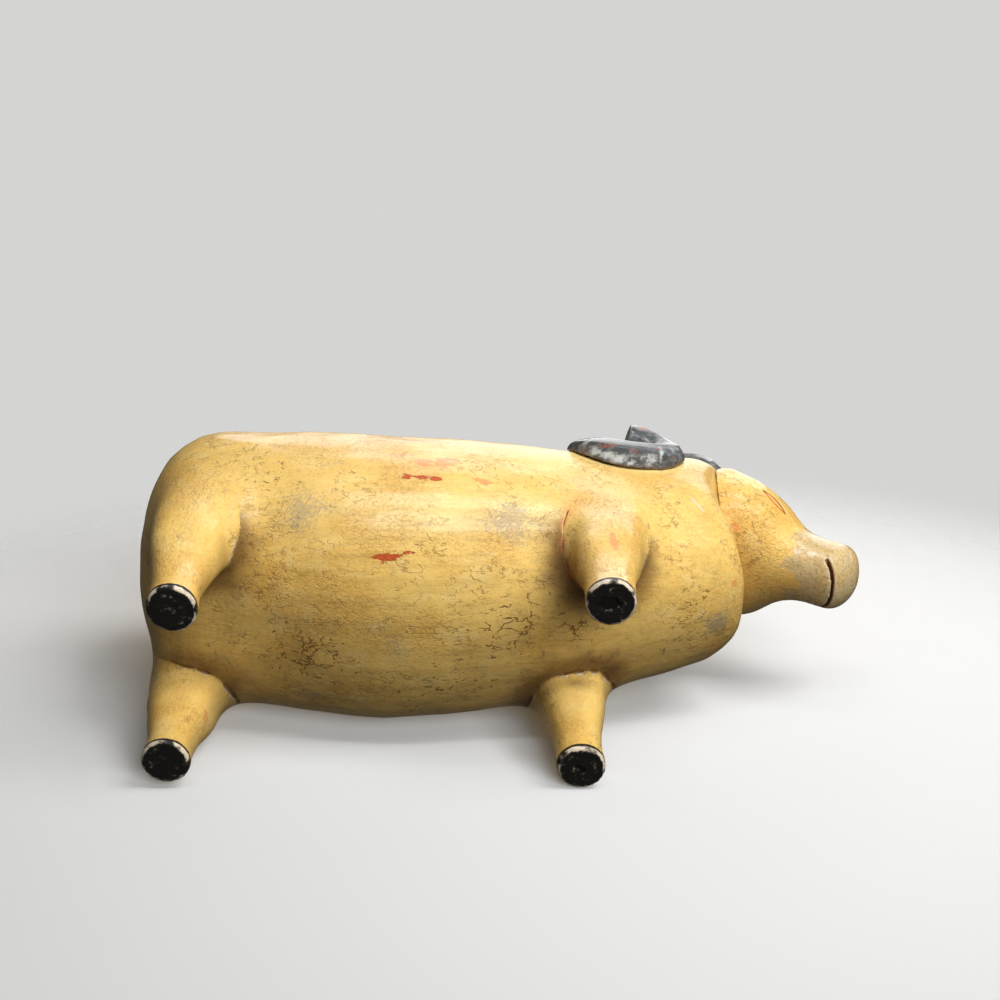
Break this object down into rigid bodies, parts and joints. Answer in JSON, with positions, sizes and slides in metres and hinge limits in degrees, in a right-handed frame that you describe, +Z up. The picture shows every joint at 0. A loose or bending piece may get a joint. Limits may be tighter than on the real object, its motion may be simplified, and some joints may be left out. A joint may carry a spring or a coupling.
{
  "type": "carved wooden ram figurine",
  "caption": "Carved wooden ram with curled dark horns, standing on short tapered legs, in worn and crackled ochre paint.",
  "frame": {"origin": "under the middle of the figurine, on the surface it stands on", "axes": "+X towards the head, +Y towards the left side of the ram, +Z up"},
  "size_m": [0.2864, 0.1066, 0.1474],
  "materials": {
    "ochre_paint": "satin",
    "horn_paint": "satin",
    "bare_wood": "matte"
  },
  "bodies": {
    "root": {"torso": "ochre_paint", "head": "ochre_paint", "front_right_leg": "ochre_paint", "front_left_leg": "ochre_paint", "rear_right_leg": "ochre_paint", "rear_left_leg": "ochre_paint", "tail": "ochre_paint", "right_horn": "horn_paint", "left_horn": "horn_paint", "front_right_leg_dowel": "bare_wood", "front_left_leg_dowel": "bare_wood", "rear_right_leg_dowel": "bare_wood", "rear_left_leg_dowel": "bare_wood", "right_horn_peg": "bare_wood", "left_horn_peg": "bare_wood", "neck_dowel": "bare_wood", "tail_peg": "bare_wood"}
  },
  "joints": []
}
